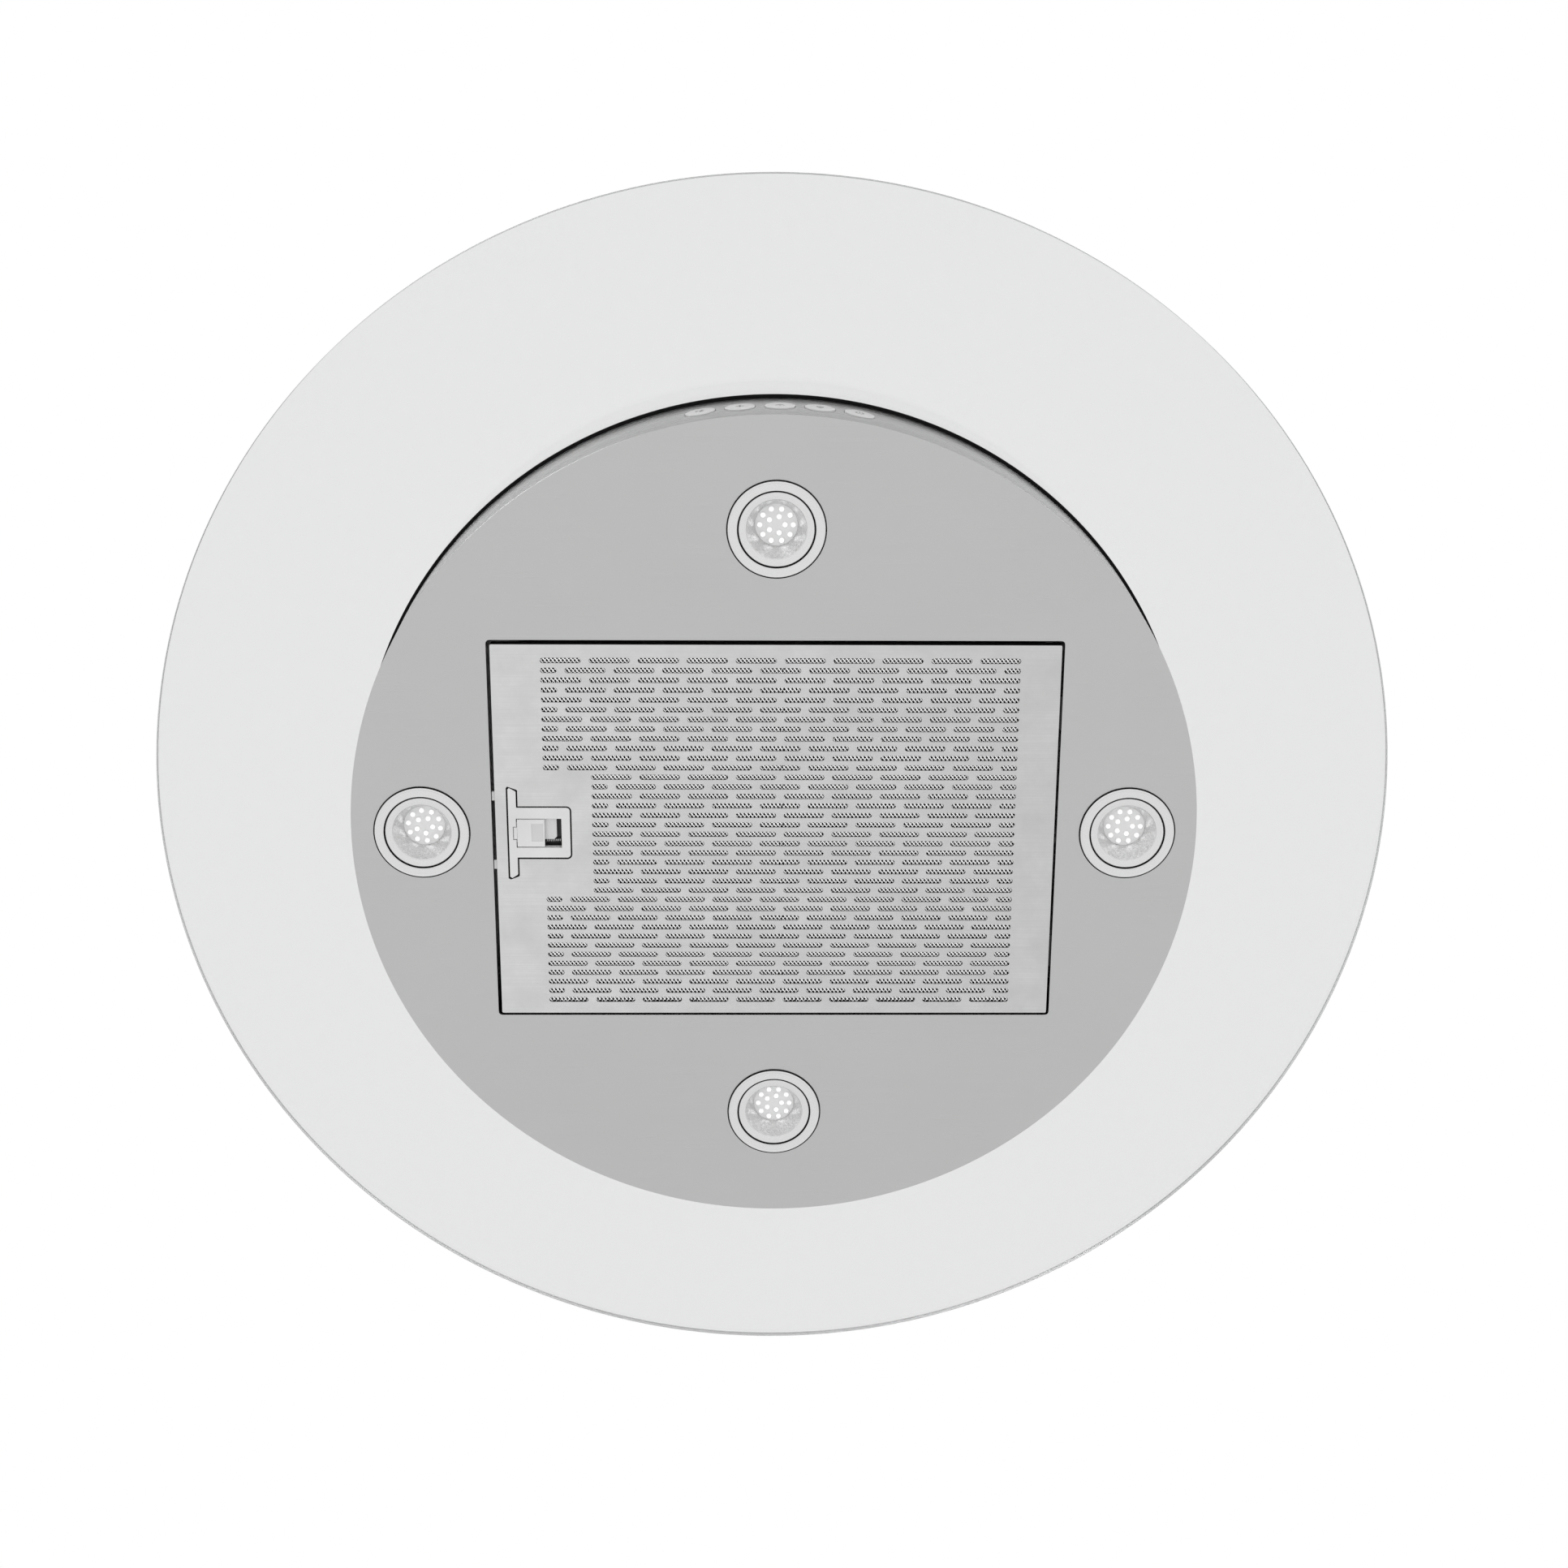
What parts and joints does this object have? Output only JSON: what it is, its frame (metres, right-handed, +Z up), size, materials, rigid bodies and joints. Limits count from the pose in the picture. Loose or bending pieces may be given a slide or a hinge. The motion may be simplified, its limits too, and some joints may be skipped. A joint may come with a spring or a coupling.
{
  "type": "island range hood",
  "caption": "Round steel island range hood with a flat glass canopy, slotted grease filter, downlights, push buttons and a telescoping round chimney.",
  "frame": {"origin": "centre of the ceiling plate's top face, where the hood meets the ceiling", "axes": "+Z up into the ceiling, -Y towards the row of buttons, the filter's latch on -X"},
  "size_m": [0.9, 0.9, 0.8015],
  "materials": {
    "plate_steel": "fine satin brushing along X",
    "wall_steel": "fine satin brushing around the drum",
    "cover_steel": "vertical satin brushing",
    "galvanised_sheet": "dull zinc with faint spangle",
    "fastener_zinc": "bright zinc plating",
    "impeller_metal": "dull zinc",
    "motor_case": "satin grey enamel",
    "shaft_steel": "ground bright steel",
    "canopy_glass": "clear toughened glass with a polished edge",
    "seal_rubber": "matt black rubber",
    "black_plastic": "fine matt moulding",
    "filter_aluminium": "brushed and slightly smudged",
    "filter_mesh": "layers of expanded mesh",
    "latch_plastic": "satin light grey moulding",
    "button_plastic": "satin silver-grey moulding",
    "board_green": "solder-masked glass fibre",
    "capacitor_case": "smooth white moulding",
    "trim_chrome": "satin chrome",
    "reflector_chrome": "bright facetted reflector",
    "lamp_white": "white board with clear LED domes"
  },
  "bodies": {
    "ceiling_frame": {"ceiling_plate": "galvanised_sheet", "upper_frame": "galvanised_sheet", "upper_cover": "cover_steel"},
    "hood": {"bottom_plate": "plate_steel", "drum_wall": "wall_steel", "top_deck": "galvanised_sheet", "edge_gasket": "seal_rubber", "spacer_ring": "black_plastic", "glass_canopy": "canopy_glass", "upper_gasket": "seal_rubber", "lower_frame": "galvanised_sheet", "clamp_bolt_1": "fastener_zinc", "clamp_bolt_2": "fastener_zinc", "clamp_bolt_3": "fastener_zinc", "clamp_bolt_4": "fastener_zinc", "lower_cover": "cover_steel", "blower_box": "galvanised_sheet", "box_lid": "galvanised_sheet", "blower_housing": "galvanised_sheet", "motor": "motor_case", "motor_bracket": "galvanised_sheet", "capacitor": "capacitor_case", "collar_flange": "galvanised_sheet", "outlet_collar": "black_plastic", "damper_pin": "shaft_steel", "control_box": "galvanised_sheet", "control_lid": "galvanised_sheet", "cable_gland": "black_plastic", "led_driver": "black_plastic", "button_board": "board_green", "button_bracket": "galvanised_sheet", "lamp_trim_1": "trim_chrome", "lamp_reflector_1": "reflector_chrome", "lamp_led_board_1": "lamp_white", "lamp_trim_2": "trim_chrome", "lamp_reflector_2": "reflector_chrome", "lamp_led_board_2": "lamp_white", "lamp_trim_3": "trim_chrome", "lamp_reflector_3": "reflector_chrome", "lamp_led_board_3": "lamp_white", "lamp_trim_4": "trim_chrome", "lamp_reflector_4": "reflector_chrome", "lamp_led_board_4": "lamp_white"},
    "filter": {"filter_face": "filter_aluminium", "filter_frame": "filter_aluminium", "filter_mesh": "filter_mesh", "latch_housing": "latch_plastic", "latch_spring": "shaft_steel"},
    "latch": {"latch_slider": "latch_plastic"},
    "fan_wheel": {"impeller": "impeller_metal", "motor_shaft": "shaft_steel"},
    "rear_flap": {"damper_flap_rear": "galvanised_sheet"},
    "front_flap": {"damper_flap_front": "galvanised_sheet"},
    "button_1_body": {"button_1": "button_plastic"},
    "button_2_body": {"button_2": "button_plastic"},
    "button_3_body": {"button_3": "button_plastic"},
    "button_4_body": {"button_4": "button_plastic"},
    "button_5_body": {"button_5": "button_plastic"}
  },
  "joints": [
    {"name": "height_adjust", "type": "slide", "parent": "ceiling_frame", "child": "hood", "axis": [0, 0, -1], "range_m": [0, 0.3]},
    {"name": "filter_hinge", "type": "hinge", "parent": "hood", "child": "filter", "pos_m": [0.1981, 0, -0.7985], "axis": [0, -1, 0], "range_deg": [0, 80]},
    {"name": "latch_slide", "type": "slide", "parent": "filter", "child": "latch", "axis": [1, 0, 0], "range_m": [0, 0.008], "stiffness_N_per_m": 300, "springref_m": -0.004, "deforming": ["latch_spring"]},
    {"name": "impeller_spin", "type": "hinge", "parent": "hood", "child": "fan_wheel", "pos_m": [0, -0.025, -0.57], "axis": [1, 0, 0], "continuous": true},
    {"name": "rear_flap_swing", "type": "hinge", "parent": "hood", "child": "rear_flap", "pos_m": [0, 0, -0.395], "axis": [1, 0, 0], "range_deg": [0, 75]},
    {"name": "front_flap_swing", "type": "hinge", "parent": "hood", "child": "front_flap", "pos_m": [0, 0, -0.395], "axis": [-1, 0, 0], "range_deg": [0, 75]},
    {"name": "button_1_press", "type": "slide", "parent": "hood", "child": "button_1_body", "axis": [0.1726, 0.985, 0], "range_m": [0, 0.0015], "stiffness_N_per_m": 600, "springref_m": -0.001},
    {"name": "button_2_press", "type": "slide", "parent": "hood", "child": "button_2_body", "axis": [0.0823, 0.9966, 0], "range_m": [0, 0.0015], "stiffness_N_per_m": 600, "springref_m": -0.001},
    {"name": "button_3_press", "type": "slide", "parent": "hood", "child": "button_3_body", "axis": [-0.0087, 1, 0], "range_m": [0, 0.0015], "stiffness_N_per_m": 600, "springref_m": -0.001},
    {"name": "button_4_press", "type": "slide", "parent": "hood", "child": "button_4_body", "axis": [-0.0997, 0.995, 0], "range_m": [0, 0.0015], "stiffness_N_per_m": 600, "springref_m": -0.001},
    {"name": "button_5_press", "type": "slide", "parent": "hood", "child": "button_5_body", "axis": [-0.1898, 0.9818, 0], "range_m": [0, 0.0015], "stiffness_N_per_m": 600, "springref_m": -0.001}
  ]
}
